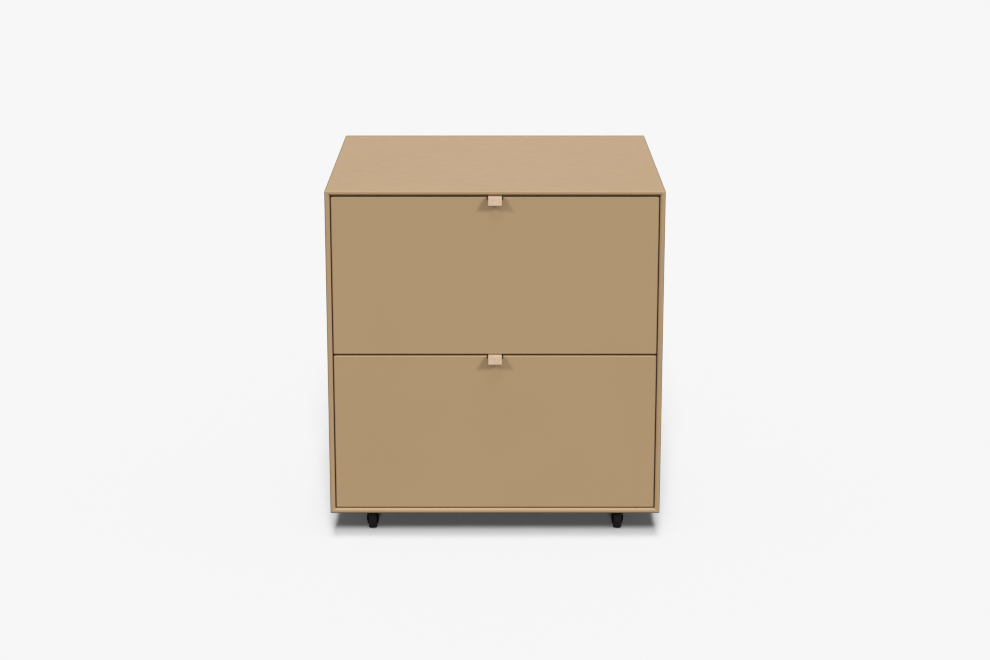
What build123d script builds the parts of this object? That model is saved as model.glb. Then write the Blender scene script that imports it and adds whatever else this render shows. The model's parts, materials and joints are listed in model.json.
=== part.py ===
from build123d import *
from math import cos, radians, sin
import os

# Two-drawer steel filing cabinet on four small swivel casters.
# Millimetres. +Z is up, the drawers open towards -Y, and the origin is on the
# floor under the middle of the overall footprint, leather pulls included.

# ---- Driving dimensions ---------------------------------------------------------

# Shell
cabinet_width = 600.0
cabinet_depth = 550.0  # front frame face to rear flange face
body_height = 600.0  # without the casters
shell_sheet = 1.2
shell_corner_radius = 2.0  # long outer edges, front to back
shell_front_radius = 2.2  # bend between an outer skin and the front frame face
frame_face = 5.4  # flat band of the mitred front frame
frame_bevel = 3.0  # 45 degree band inside the flat band
frame_return_depth = 24.0  # how far back the hollow frame edge reaches
rear_flange = 18.0
back_sheet = 1.0
back_inset = 3.0  # back panel edge to the shell's outer edge
back_screws_per_side = 4

# Uprights, base channels and ballast
upright_sheet = 1.2
upright_reach = 12.0  # outer skin face to the face that carries the slides
upright_width = 40.0
front_upright_clearance = 2.0  # behind the frame return
rear_upright_clearance = 20.0  # in front of the rear flange
channel_sheet = 1.5
channel_height = 12.0
channel_width = 64.0
ballast_width = 460.0
ballast_length = 160.0
ballast_thickness = 8.0
ballast_gap = 6.0  # to the rear base channel
ballast_screw_inset = 20.0

# Drawers
drawer_side_gap = 2.0
drawer_top_gap = 3.2
drawer_bottom_gap = 1.6
drawer_between_gap = 3.0
front_recess = 3.0  # drawer face behind the frame face
front_sheet = 1.0
front_depth = 20.0
front_edge_radius = 1.8
front_corner_radius = 2.5
liner_sheet = 1.0
liner_clearance = 0.3
tray_sheet = 1.0
tray_rear_clearance = 17.0  # tray to the rear flange's outer face
tray_headroom = 40.0  # tray's upper edge below the upper edge of the drawer front
tray_rise = 12.0  # tray underside above the lower edge of the drawer front
tray_top_flange = 10.0
tray_front_flange = 14.0
tray_back_flange = 12.0
tray_screw_shares = (0.15, 0.85)  # of the tray's height

# Hanging file rails
rail_thickness = 2.0
rail_height = 14.0
rail_foot_width = 16.0
rail_gusset = 4.5  # how far the upright bar runs over each foot
rail_front_offset = 34.0  # liner to the front rail
file_hook_spacing = 311.0  # letter-size hanging folders
rail_end_clearance = 0.5

# Ball-bearing slides, three members each
slide_setback = 30.0  # front frame face to the slide's front end
slide_rear_clearance = 20.0  # slide's rear end to the rear flange's outer face
slide_height = 45.5
slide_thickness = 12.7
slide_sheet = 1.2
slide_flange = 11.0
slide_lip = 1.6
slide_level = 100.0  # slide centre above the lower edge of the drawer front
middle_shortening = 10.0  # at each end
middle_web = 3.0  # outer web face to the middle member's web
middle_flange_end = 10.0
inner_flange_start = 5.5
inner_screw_shares = (0.08, 0.5, 0.92)  # of the slide's length
ball_radius = 1.75
ball_clearance = 0.3
ball_count = 6  # in each row
cage_sheet = 0.8
cage_length = 180.0
cage_start = 140.0  # from the slide's front end, drawer closed
outer_ball_place = 6.6  # ball centres, from the outer web's back face
inner_ball_place = 7.6
cage_reach = 2.8  # cage strip to each side of its ball centres

# Leather pulls
pull_width = 24.5
pull_thickness = 4.8  # two layers of one folded strap
pull_standing = 2.0  # top of the strap above the drawer front
pull_reach = 12.0  # drawer face to the strap's outermost point
pull_drop = 16.4  # top of the drawer front down to the strap's fold
pull_start = 3.6  # drawer face to the middle of the strap where it turns down
pull_bend_radius = 3.4
pull_tail = 30.0  # strap behind the liner, below the top of the drawer front
pull_fit = 0.2
notch_side_gap = 2.2
notch_depth = 5.6
clamp_thickness = 1.5
clamp_height = 22.0
clamp_bottom_margin = 2.0  # clamp edge below the strap's end
clamp_screw_spacing = 14.0

# Casters
caster_inset = 72.0  # swivel axis to the shell's outer faces
caster_trail = 11.0
caster_plate_size = 44.0
caster_plate_thickness = 2.0
caster_hole_spacing = 32.0
race_radius = 15.0
race_wall = 3.0
upper_race_height = 2.0
lower_race_height = 2.2
race_clearance = 0.3
kingpin_radius = 4.0
kingpin_head_radius = 6.0
kingpin_head_height = 1.6
kingpin_clearance = 0.3
wheel_top_clearance = 2.0  # wheel to the kingpin's head
fork_sheet = 1.6
fork_side_gap = 0.6
fork_crown_front = 16.0  # from the swivel axis, away from the wheel
fork_crown_rear = 23.0
fork_foot_radius = 10.5
wheel_radius = 19.0
wheel_width = 14.5
wheel_edge_radius = 3.2
wheel_dish_depth = 2.0
wheel_rim = 5.0
wheel_hub_radius = 6.5
axle_radius = 3.0
axle_clearance = 0.08
axle_head_radius = 4.6
axle_head_height = 1.0
# Swivel angle at rest, degrees, for each caster
caster_rest_angles = {
    "front_left": 5.0,
    "front_right": -4.0,
    "rear_left": -9.0,
    "rear_right": 12.0,
}

# Fasteners
screw_radius = 2.0
screw_head_radius = 3.6
screw_head_height = 1.6
screw_head_rounding = 0.6
screw_hole_play = 0.15
screw_tip = 2.0  # thread past the last sheet
flat_head_radius = 3.8
nut_radius = 4.0
nut_height = 3.0

cut_past = 1.0  # how far a cutting shape runs past what it cuts

# ---- Places worked out from the driving dimensions -------------------------------

# Heights in a caster, from the floor up to the shell
pin_head_bottom = 2 * wheel_radius + wheel_top_clearance
pin_head_top = pin_head_bottom + kingpin_head_height
crown_bottom = pin_head_top + race_clearance
crown_top = crown_bottom + fork_sheet
lower_race_top = crown_top + lower_race_height
upper_race_bottom = lower_race_top + race_clearance
plate_bottom_z = upper_race_bottom + upper_race_height
caster_height = plate_bottom_z + caster_plate_thickness

half_width = cabinet_width / 2
body_bottom = caster_height
body_top = body_bottom + body_height
frame_width = frame_face + frame_bevel

pull_overhang = pull_reach - front_recess
rear_overhang = back_sheet + screw_head_height
front_y = pull_overhang - (pull_overhang + cabinet_depth + rear_overhang) / 2
back_y = front_y + cabinet_depth

drawer_face_y = front_y + front_recess
front_width = cabinet_width - 2 * (frame_width + drawer_side_gap)
drawer_opening = body_height - 2 * frame_width - drawer_top_gap - drawer_bottom_gap
front_height = (drawer_opening - drawer_between_gap) / 2
lower_front_bottom = body_bottom + frame_width + drawer_bottom_gap
drawer_pitch = front_height + drawer_between_gap
liner_back_y = drawer_face_y + front_depth
tray_half_width = half_width - upright_reach - slide_thickness
tray_back_y = back_y - tray_rear_clearance
tray_height = front_height - tray_rise - tray_headroom

slide_front_y = front_y + slide_setback
slide_length = cabinet_depth - slide_setback - slide_rear_clearance
slide_screw_places = (
    front_y + frame_return_depth + front_upright_clearance + upright_width / 2,
    back_y - shell_sheet - rear_upright_clearance - upright_width / 2,
)

# ---- Helpers ----------------------------------------------------------------------


def block(x0, x1, y0, y1, z0, z1):
    """A box between two corners."""
    size = Box(x1 - x0, y1 - y0, z1 - z0)
    return Pos((x0 + x1) / 2, (y0 + y1) / 2, (z0 + z1) / 2) * size


def rod(x, y, z, radius, height, axis=(0, 0, 1)):
    """A cylinder that starts at a point and runs along an axis."""
    plane = Plane(origin=(x, y, z), z_dir=axis)
    return plane * Cylinder(radius, height, align=(Align.CENTER, Align.CENTER, Align.MIN))


def mirrored(shape):
    """The same piece on the other side of the cabinet."""
    return mirror(shape, about=Plane.YZ)


def group(solids):
    """Separate solids that share one node."""
    return Compound(children=list(solids))


def pan_screw(x, y, z, axis, grip):
    """A pan-head screw whose head seats at the point and whose thread runs against the axis."""
    plane = Plane(origin=(x, y, z), z_dir=axis)
    bottom = (Align.CENTER, Align.CENTER, Align.MIN)
    top = (Align.CENTER, Align.CENTER, Align.MAX)
    head = Cylinder(screw_head_radius, screw_head_height, align=bottom)
    head = fillet(head.edges().group_by(Axis.Z)[-1], screw_head_rounding)
    shank = Cylinder(screw_radius, grip + screw_tip, align=top)
    return plane * (head + shank)


def flat_screw(x, y, z, axis, sheet, grip):
    """A countersunk screw: its head fills the sheet's thickness below the point."""
    plane = Plane(origin=(x, y, z), z_dir=axis)
    top = (Align.CENTER, Align.CENTER, Align.MAX)
    head = Cone(screw_radius, flat_head_radius, sheet, align=top)
    shank = Cylinder(screw_radius, sheet + grip + screw_tip, align=top)
    return plane * (head + shank)


def screw_hole(x, y, z, axis, depth):
    """The clearance hole that a screw's thread runs through, against the axis."""
    plane = Plane(origin=(x, y, z), z_dir=axis)
    radius = screw_radius + screw_hole_play
    return plane * Cylinder(radius, 2 * depth, align=(Align.CENTER,) * 3)


def countersink(x, y, z, axis, sheet):
    """The seat of a flat_screw in the sheet that it holds."""
    plane = Plane(origin=(x, y, z), z_dir=axis)
    top = (Align.CENTER, Align.CENTER, Align.MAX)
    return plane * Cone(screw_radius, flat_head_radius, sheet, align=top)


# ---- Shell ------------------------------------------------------------------------


def shell_section():
    """Section of a shell panel: x runs back from the frame face, y inwards from the skin."""
    edge = make_face(
        Polyline(
            (0, 0),
            (0, frame_face),
            (frame_bevel, frame_width),
            (frame_return_depth, frame_width),
            (frame_return_depth, 0),
            close=True,
        )
    )
    hollow = offset(edge, amount=-shell_sheet, kind=Kind.INTERSECTION)
    low = (Align.MIN, Align.MIN)
    skin = Rectangle(cabinet_depth, shell_sheet, align=low)
    flange = Pos(cabinet_depth - shell_sheet, 0) * Rectangle(shell_sheet, rear_flange, align=low)
    section = edge + skin + flange - hollow
    front_corner = section.vertices().sort_by_distance((0, 0))[0]
    section = fillet(front_corner, shell_front_radius)
    rear_corner = section.vertices().sort_by_distance((cabinet_depth, 0))[0]
    return fillet(rear_corner, shell_sheet * 0.8)


def shell_panel(origin, along, length):
    """One panel of the shell, mitred at both ends, with its length along a direction."""
    panel = extrude(shell_section(), length)
    near = Plane(origin=(0, 0, 0), z_dir=(0, -1, 1))
    far = Plane(origin=(0, 0, length), z_dir=(0, -1, -1))
    panel = split(panel, bisect_by=near, keep=Keep.TOP)
    panel = split(panel, bisect_by=far, keep=Keep.TOP)
    placed = Plane(origin=origin, x_dir=(0, 1, 0), z_dir=along) * panel
    outline = Plane(
        origin=(0, front_y, body_bottom + body_height / 2),
        x_dir=(1, 0, 0),
        z_dir=(0, 1, 0),
    )
    rounded = RectangleRounded(cabinet_width, body_height, shell_corner_radius)
    return placed & extrude(outline * rounded, cabinet_depth)


def back_screw_points():
    """Centres of the screws around the back panel."""
    reach_x = half_width - rear_flange / 2 - back_inset / 2
    reach_z = body_height / 2 - rear_flange / 2 - back_inset / 2
    middle_z = body_bottom + body_height / 2
    steps = [2 * i / (back_screws_per_side - 1) - 1 for i in range(back_screws_per_side)]
    rows = [(s * reach_x, middle_z + e * reach_z) for s in steps for e in (-1, 1)]
    columns = [(e * reach_x, middle_z + s * reach_z) for s in steps[1:-1] for e in (-1, 1)]
    return rows + columns


def caster_centres():
    """Swivel axis of each caster by name."""
    x = half_width - caster_inset
    front = front_y + caster_inset
    rear = back_y - caster_inset
    return {
        "front_left": (-x, front),
        "front_right": (x, front),
        "rear_left": (-x, rear),
        "rear_right": (x, rear),
    }


def caster_screw_points():
    """Centres of the screws that hold the caster plates."""
    half = caster_hole_spacing / 2
    corners = [(i * half, j * half) for i in (-1, 1) for j in (-1, 1)]
    return [(x + i, y + j) for x, y in caster_centres().values() for i, j in corners]


def ballast_corner():
    """Front edge of the ballast plate."""
    rear_channel_front = back_y - caster_inset - channel_width / 2
    return rear_channel_front - ballast_gap - ballast_length


def ballast_screw_points():
    """Centres of the screws that hold the ballast plate from below."""
    front = ballast_corner()
    x = ballast_width / 2 - ballast_screw_inset
    near, far = front + ballast_screw_inset, front + ballast_length - ballast_screw_inset
    return [(i * x, y) for i in (-1, 1) for y in (near, far)]


def make_shell():
    top = shell_panel((half_width, front_y, body_top), (-1, 0, 0), cabinet_width)
    bottom = shell_panel((-half_width, front_y, body_bottom), (1, 0, 0), cabinet_width)
    left = shell_panel((-half_width, front_y, body_top), (0, 0, -1), body_height)
    right = shell_panel((half_width, front_y, body_bottom), (0, 0, 1), body_height)
    for x, y in caster_screw_points() + ballast_screw_points():
        bottom -= screw_hole(x, y, body_bottom, (0, 0, -1), 2 * shell_sheet)
    back = block(
        -half_width + back_inset,
        half_width - back_inset,
        back_y,
        back_y + back_sheet,
        body_bottom + back_inset,
        body_top - back_inset,
    )
    shell = {"top_panel": top, "bottom_panel": bottom}
    shell |= {"left_side_panel": left, "right_side_panel": right, "back_panel": back}
    screws = []
    for x, z in back_screw_points():
        hole = screw_hole(x, back_y + back_sheet, z, (0, 1, 0), 3 * shell_sheet)
        near = [n for n, p in shell.items() if distance_to_point(p, x, back_y, z) < screw_radius]
        for name in near:
            shell[name] = shell[name] - hole
        screws.append(pan_screw(x, back_y + back_sheet, z, (0, 1, 0), back_sheet + shell_sheet))
    return shell | {"back_panel_screws": group(screws)}


def distance_to_point(part, x, y, z):
    """How far a part is from a point."""
    return part.distance_to(Vertex(x, y, z))


def make_uprights():
    """The four vertical channels that carry the slides, left side built and mirrored."""
    inner = -half_width + upright_reach
    outer = -half_width + shell_sheet
    z0, z1 = body_bottom + shell_sheet, body_top - shell_sheet
    made = {}
    for place, middle_y in zip(("front", "rear"), slide_screw_places):
        y0, y1 = middle_y - upright_width / 2, middle_y + upright_width / 2
        channel = block(outer, inner, y0, y1, z0, z1)
        channel -= block(
            outer, inner - upright_sheet, y0 + upright_sheet, y1 - upright_sheet, z0, z1
        )
        for level in slide_levels():
            channel -= screw_hole(inner, middle_y, level, (1, 0, 0), upright_reach)
        made[f"{place}_left_upright"] = channel
        made[f"{place}_right_upright"] = mirrored(channel)
    return made


def make_base():
    """Channels above the casters, the ballast plate, and their screws and nuts."""
    inner = half_width - upright_reach
    floor = body_bottom + shell_sheet
    made = {}
    for place, middle in (
        ("front", front_y + caster_inset),
        ("rear", back_y - caster_inset),
    ):
        y0, y1 = middle - channel_width / 2, middle + channel_width / 2
        channel = block(-inner, inner, y0, y1, floor, floor + channel_height)
        hollow_top = floor + channel_height - channel_sheet
        channel -= block(-inner, inner, y0 + channel_sheet, y1 - channel_sheet, floor, hollow_top)
        made[f"{place}_base_channel"] = channel
    front = ballast_corner()
    ballast = block(
        -ballast_width / 2,
        ballast_width / 2,
        front,
        front + ballast_length,
        floor,
        floor + ballast_thickness,
    )
    for x, y in ballast_screw_points():
        ballast -= screw_hole(x, y, floor, (0, 0, -1), shell_sheet + screw_tip * 2)
    made["ballast_plate"] = ballast
    plate_bottom = body_bottom - caster_plate_thickness
    grip = caster_plate_thickness + shell_sheet + nut_height
    screws = [pan_screw(x, y, plate_bottom, (0, 0, -1), grip) for x, y in caster_screw_points()]
    screws += [
        pan_screw(x, y, body_bottom, (0, 0, -1), shell_sheet + screw_tip)
        for x, y in ballast_screw_points()
    ]
    made["base_screws"] = group(screws)
    nut = extrude(RegularPolygon(nut_radius, 6), nut_height)
    nut -= Cylinder(screw_radius + screw_hole_play, 4 * nut_height)
    made["caster_nuts"] = group(Pos(x, y, floor) * nut for x, y in caster_screw_points())
    return made


# ---- Slides -----------------------------------------------------------------------


def slide_levels():
    """Height of each drawer's slide centre line, lower drawer first."""
    lower = lower_front_bottom + slide_level
    return (lower, lower + drawer_pitch)


def ball_rows():
    """Distance of the outer and inner ball rows from the slide's centre line."""
    spacing = ball_radius + ball_clearance
    outer = slide_height / 2 - slide_sheet - spacing
    inner = outer - 2 * spacing - slide_sheet
    return outer, inner


def section_to_left_slide(section, front, length, level):
    """Extrudes a slide section back along Y on the left side: x runs from the cabinet to the drawer."""
    plane = Plane(
        origin=(-half_width + upright_reach, front + length, level),
        x_dir=(1, 0, 0),
        z_dir=(0, -1, 0),
    )
    return extrude(plane * section, length)


def channel_section(web0, web1, flange0, flange1, reach):
    """A C section: a web between two x values and flanges between two others, out to a reach."""
    web = Pos((web0 + web1) / 2, 0) * Rectangle(web1 - web0, 2 * reach)
    made = web
    for side in (-1, 1):
        place = Pos((flange0 + flange1) / 2, side * (reach - slide_sheet / 2))
        made += place * Rectangle(flange1 - flange0, slide_sheet)
    return made


def make_outer_slide(level):
    reach = slide_height / 2
    section = channel_section(0, slide_sheet, 0, slide_flange, reach)
    for side in (-1, 1):
        middle = side * (reach - slide_sheet - slide_lip / 2)
        place = Pos(slide_flange - slide_sheet / 2, middle)
        section += place * Rectangle(slide_sheet, slide_lip)
    slide = section_to_left_slide(section, slide_front_y, slide_length, level)
    face = -half_width + upright_reach + slide_sheet
    for y in slide_screw_places:
        slide -= countersink(face, y, level, (1, 0, 0), slide_sheet)
    return slide


def make_middle_slide(level):
    reach = ball_rows()[0] - ball_radius - ball_clearance
    web_end = middle_web + slide_sheet
    section = channel_section(middle_web, web_end, middle_web, middle_flange_end, reach)
    front = slide_front_y + middle_shortening
    return section_to_left_slide(section, front, slide_length - 2 * middle_shortening, level)


def inner_screw_places():
    """Along the slide, where the inner member is screwed to the tray."""
    return [slide_front_y + share * slide_length for share in inner_screw_shares]


def make_inner_slide(level):
    reach = ball_rows()[1] - ball_radius - ball_clearance
    web0 = slide_thickness - slide_sheet
    section = channel_section(web0, slide_thickness, inner_flange_start, slide_thickness, reach)
    slide = section_to_left_slide(section, slide_front_y, slide_length, level)
    face = -half_width + upright_reach + web0
    for y in inner_screw_places():
        slide -= countersink(face, y, level, (-1, 0, 0), slide_sheet)
    return slide


def make_ball_cage(level, row, place):
    """Two cage strips with their balls, above and below a slide's centre line."""
    solids = []
    front = slide_front_y + cage_start
    x = -half_width + upright_reach + place
    pitch = cage_length / ball_count
    for side in (-1, 1):
        z = level + side * row
        strip = block(
            x - cage_reach,
            x + cage_reach,
            front,
            front + cage_length,
            z - cage_sheet / 2,
            z + cage_sheet / 2,
        )
        for i in range(ball_count):
            y = front + (i + 0.5) * pitch
            strip -= rod(x, y, z - cage_sheet, ball_radius + ball_clearance / 2, 2 * cage_sheet)
            solids.append(Pos(x, y, z) * Sphere(ball_radius))
        solids.append(strip)
    return solids


def make_slides():
    """Slides of both drawers, with the screws that fix the outer members to the uprights."""
    made, screws = {}, []
    face = -half_width + upright_reach + slide_sheet
    for drawer, level in zip(("lower", "upper"), slide_levels()):
        members = {
            "outer": make_outer_slide(level),
            "middle": make_middle_slide(level),
            "inner": make_inner_slide(level),
        }
        for member, shape in members.items():
            made[f"{drawer}_left_slide_{member}"] = shape
            made[f"{drawer}_right_slide_{member}"] = mirrored(shape)
        for y in slide_screw_places:
            screw = flat_screw(face, y, level, (1, 0, 0), slide_sheet, upright_sheet)
            screws += [screw, mirrored(screw)]
        places = (outer_ball_place, inner_ball_place)
        for ring, row, place in zip(("outer", "inner"), ball_rows(), places):
            cage = make_ball_cage(level, row, place)
            made[f"{drawer}_{ring}_ball_cages"] = group(cage + [mirrored(s) for s in cage])
    made["slide_screws"] = group(screws)
    return made


# ---- Drawers ----------------------------------------------------------------------


def notch(z_top):
    """The opening at the top of a drawer front that its pull comes through."""
    half = pull_width / 2 + notch_side_gap
    y0 = drawer_face_y - cut_past
    return block(-half, half, y0, liner_back_y + cut_past, z_top - notch_depth, z_top + cut_past)


def make_front(z0):
    """The outer pan of a drawer front."""
    half, z1 = front_width / 2, z0 + front_height
    pan = block(-half, half, drawer_face_y, liner_back_y, z0, z1)
    pan = fillet(pan.edges().filter_by(Axis.Y), front_corner_radius)
    pan = fillet(pan.faces().sort_by(Axis.Y)[0].edges(), front_edge_radius)
    t = front_sheet
    pan -= block(-half + t, half - t, drawer_face_y + t, liner_back_y, z0 + t, z1 - t)
    return pan - notch(z1)


def make_liner(z0):
    """The flat sheet that closes the back of a drawer front."""
    gap = front_sheet + liner_clearance
    half, z1 = front_width / 2 - gap, z0 + front_height - gap
    liner = block(-half, half, liner_back_y - liner_sheet, liner_back_y, z0 + gap, z1)
    liner = fillet(liner.edges().filter_by(Axis.Y), front_corner_radius)
    liner -= notch(z0 + front_height)
    for x, z in tray_screw_points(z0) + clamp_screw_points(z0):
        liner -= screw_hole(x, liner_back_y, z, (0, 1, 0), 2 * liner_sheet)
    return liner


def tray_screw_points(z0):
    """Centres of the screws that join the tray's front flanges to the liner."""
    x = tray_half_width - tray_sheet - tray_front_flange / 2
    bottom = z0 + tray_rise
    return [(i * x, bottom + share * tray_height) for i in (-1, 1) for share in tray_screw_shares]


def clamp_screw_points(z0):
    """Centres of the screws that clamp a pull to the liner."""
    z = z0 + front_height - pull_tail - clamp_bottom_margin + clamp_height / 2
    return [(i * clamp_screw_spacing / 2, z) for i in (-1, 1)]


def make_tray(z0):
    """Bottom and sides of a drawer in one folded sheet, with flanges at the top and front."""
    half, t = tray_half_width, tray_sheet
    bottom, top = z0 + tray_rise, z0 + tray_rise + tray_height
    y0, y1 = liner_back_y, tray_back_y
    tray = block(-half, half, y0, y1, bottom, top)
    tray -= block(-half + t, half - t, y0, y1, bottom + t, top - t)
    tray -= block(-half + tray_top_flange, half - tray_top_flange, y0, y1, bottom + t, top)
    flange = block(
        -half + t, -half + t + tray_front_flange, y0, y0 + t, bottom + t, top - t
    )
    tray = tray + flange + mirrored(flange)
    edges = [e for e in tray.edges().filter_by(Axis.Y) if is_outer_bottom(e, bottom)]
    tray = fillet(edges, tray_sheet * 0.9)
    for x, z in tray_screw_points(z0):
        tray -= screw_hole(x, y0 + t, z, (0, 1, 0), 2 * t)
    for y in inner_screw_places():
        hole = screw_hole(-half, y, z0 + slide_level, (-1, 0, 0), 2 * t)
        tray = tray - hole - mirrored(hole)
    return tray


def is_outer_bottom(edge, bottom):
    """True for the two long lower edges of a tray."""
    middle = edge.center()
    return abs(middle.Z - bottom) < 1e-6 and abs(abs(middle.X) - tray_half_width) < 1e-6


def make_tray_back(z0):
    """The rear wall of a drawer, with side flanges welded inside the tray."""
    half, t = tray_half_width - tray_sheet, tray_sheet
    bottom, top = z0 + tray_rise + t, z0 + tray_rise + tray_height - t
    wall = block(-half, half, tray_back_y - tray_back_flange, tray_back_y, bottom, top)
    y0 = tray_back_y - tray_back_flange + t
    return wall - block(-half + t, half - t, y0, tray_back_y, bottom, top)


def make_file_rail(z0, y):
    """A bar across the tray with a foot at each end, resting on the tray's top flanges."""
    half = tray_half_width - rail_end_clearance
    z = z0 + tray_rise + tray_height
    web_half = tray_half_width - tray_top_flange - rail_end_clearance
    web_y = y - rail_thickness / 2
    rail = block(-web_half, web_half, web_y, web_y + rail_thickness, z, z + rail_height)
    foot = block(
        -half, -web_half, y - rail_foot_width / 2, y + rail_foot_width / 2, z, z + rail_thickness
    )
    gusset = block(
        -web_half - rail_gusset,
        -web_half,
        web_y,
        web_y + rail_thickness,
        z,
        z + rail_height,
    )
    return rail + foot + gusset + mirrored(foot) + mirrored(gusset)


def rail_places():
    """Front and rear file rail, along Y."""
    front = liner_back_y + rail_front_offset
    return {"front": front, "rear": front + file_hook_spacing}


def make_pull(z0):
    """A folded leather strap: clamped behind the liner, out through the notch, and down."""
    z_top = z0 + front_height
    tail_y = liner_back_y + pull_fit + pull_thickness / 2
    run_z = z_top + pull_standing - pull_thickness / 2
    fold_radius = pull_thickness / 2
    fold_y = drawer_face_y - pull_reach + fold_radius
    fold_z = z_top - pull_drop + fold_radius
    path = FilletPolyline(
        (tail_y, z_top - pull_tail),
        (tail_y, run_z),
        (drawer_face_y - pull_start, run_z),
        (fold_y, fold_z),
        radius=pull_bend_radius,
    )
    side = trace(path, line_width=pull_thickness) + Pos(fold_y, fold_z) * Circle(fold_radius)
    plane = Plane(origin=(-pull_width / 2, 0, 0), x_dir=(0, 1, 0), z_dir=(1, 0, 0))
    strap = extrude(plane * side, pull_width)
    for x, z in clamp_screw_points(z0):
        strap -= screw_hole(x, tail_y, z, (0, 1, 0), pull_thickness)
    return strap


def make_clamp(z0):
    """The plate that holds a pull's two ends against the liner."""
    y = liner_back_y + pull_thickness + 2 * pull_fit
    z = z0 + front_height - pull_tail - clamp_bottom_margin
    half = pull_width / 2 + clamp_bottom_margin
    plate = block(-half, half, y, y + clamp_thickness, z, z + clamp_height)
    plate = fillet(plate.edges().filter_by(Axis.Y), clamp_bottom_margin)
    for x, hole_z in clamp_screw_points(z0):
        plate -= screw_hole(x, y, hole_z, (0, 1, 0), 3 * clamp_thickness)
    return plate


def make_drawer_screws(z0):
    """Tray to liner, pull clamp to liner, and slide to tray screws of one drawer."""
    screws = []
    for x, z in tray_screw_points(z0):
        place = (x, liner_back_y + tray_sheet, z)
        screws.append(pan_screw(*place, (0, 1, 0), tray_sheet + liner_sheet))
    clamp_y = liner_back_y + pull_thickness + 2 * pull_fit + clamp_thickness
    for x, z in clamp_screw_points(z0):
        grip = clamp_y - liner_back_y + liner_sheet
        screws.append(pan_screw(x, clamp_y, z, (0, 1, 0), grip))
    face = -tray_half_width - slide_sheet
    for y in inner_screw_places():
        screw = flat_screw(face, y, z0 + slide_level, (-1, 0, 0), slide_sheet, tray_sheet)
        screws += [screw, mirrored(screw)]
    return group(screws)


def make_drawer(name, z0):
    rails = rail_places()
    made = {
        "front": make_front(z0),
        "front_liner": make_liner(z0),
        "tray": make_tray(z0),
        "tray_back": make_tray_back(z0),
        "front_file_rail": make_file_rail(z0, rails["front"]),
        "rear_file_rail": make_file_rail(z0, rails["rear"]),
        "pull": make_pull(z0),
        "pull_clamp": make_clamp(z0),
        "screws": make_drawer_screws(z0),
    }
    return {f"{name}_drawer_{part}": shape for part, shape in made.items()}


# ---- Casters ----------------------------------------------------------------------


def make_caster_plate():
    """Mounting plate, upper race and kingpin of a caster, swivel axis on Z."""
    plate = extrude(
        RectangleRounded(caster_plate_size, caster_plate_size, caster_plate_size / 10),
        caster_plate_thickness,
    )
    plate = Pos(0, 0, plate_bottom_z) * plate
    plate += rod(0, 0, upper_race_bottom, race_radius, upper_race_height)
    plate += rod(0, 0, pin_head_top, kingpin_radius, upper_race_bottom - pin_head_top)
    plate += rod(0, 0, pin_head_bottom, kingpin_head_radius, kingpin_head_height)
    half = caster_hole_spacing / 2
    for i in (-1, 1):
        for j in (-1, 1):
            plate -= screw_hole(i * half, j * half, caster_height, (0, 0, 1), 2 * caster_plate_thickness)
    return plate


def fork_leg_outline():
    """Side view of a fork leg, in Y and Z, with the wheel's axle at minus the trail."""
    axle_y, axle_z = -caster_trail, wheel_radius
    foot = Pos(axle_y, axle_z) * Circle(fork_foot_radius)
    upper = make_face(
        Polyline(
            (-fork_crown_rear, crown_top),
            (fork_crown_front, crown_top),
            (axle_y + fork_foot_radius, axle_z),
            (axle_y - fork_foot_radius, axle_z),
            close=True,
        )
    )
    return foot + upper


def make_fork():
    """Fork of a caster: crown, lower race and two legs, with the riveted axle as its own solid."""
    inner_x = wheel_width / 2 + fork_side_gap
    outer_x = inner_x + fork_sheet
    crown = block(
        -outer_x, outer_x, -fork_crown_rear, fork_crown_front, crown_bottom, crown_top
    )
    ring = rod(0, 0, crown_top, race_radius, lower_race_height)
    ring -= rod(0, 0, crown_top, race_radius - race_wall, lower_race_height)
    disc = rod(0, 0, crown_bottom, race_radius, fork_sheet)
    fork = crown + ring + disc
    side = Plane(origin=(inner_x, 0, 0), x_dir=(0, 1, 0), z_dir=(1, 0, 0))
    leg = extrude(side * fork_leg_outline(), fork_sheet)
    leg -= rod(0, -caster_trail, wheel_radius, axle_radius, 2 * outer_x, axis=(1, 0, 0))
    fork = fork + leg + mirrored(leg)
    hole_radius = kingpin_radius + kingpin_clearance
    fork -= rod(0, 0, crown_bottom - cut_past, hole_radius, fork_sheet + 2 * cut_past)
    axle = rod(-outer_x, -caster_trail, wheel_radius, axle_radius, 2 * outer_x, axis=(1, 0, 0))
    head = rod(outer_x, -caster_trail, wheel_radius, axle_head_radius, axle_head_height, (1, 0, 0))
    return [fork, axle + head + mirrored(head)]


def make_wheel():
    """Wheel of a caster: rounded tread and a dished side around the hub."""
    half = wheel_width / 2
    section = make_face(
        Polyline(
            (axle_radius + axle_clearance, -half),
            (wheel_hub_radius, -half),
            (wheel_hub_radius, -half + wheel_dish_depth),
            (wheel_radius - wheel_rim, -half + wheel_dish_depth),
            (wheel_radius - wheel_rim, -half),
            (wheel_radius, -half),
            (wheel_radius, half),
            (wheel_radius - wheel_rim, half),
            (wheel_radius - wheel_rim, half - wheel_dish_depth),
            (wheel_hub_radius, half - wheel_dish_depth),
            (wheel_hub_radius, half),
            (axle_radius + axle_clearance, half),
            close=True,
        )
    )
    section = fillet(section.vertices().group_by(Axis.X)[-1], wheel_edge_radius)
    upright = revolve(section, Axis.Y)
    centre = Plane(origin=(0, -caster_trail, wheel_radius), x_dir=(0, 0, 1), z_dir=(0, 1, 0))
    return centre * upright


def make_casters():
    made, plates = {}, []
    for name, (x, y) in caster_centres().items():
        turned = Pos(x, y, 0) * Rot(0, 0, caster_rest_angles[name])
        plates.append(Pos(x, y, 0) * make_caster_plate())
        made[f"{name}_caster_fork"] = group(turned * solid for solid in make_fork())
        made[f"{name}_caster_wheel"] = turned * make_wheel()
    made["caster_plates"] = group(plates)
    return made


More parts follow.
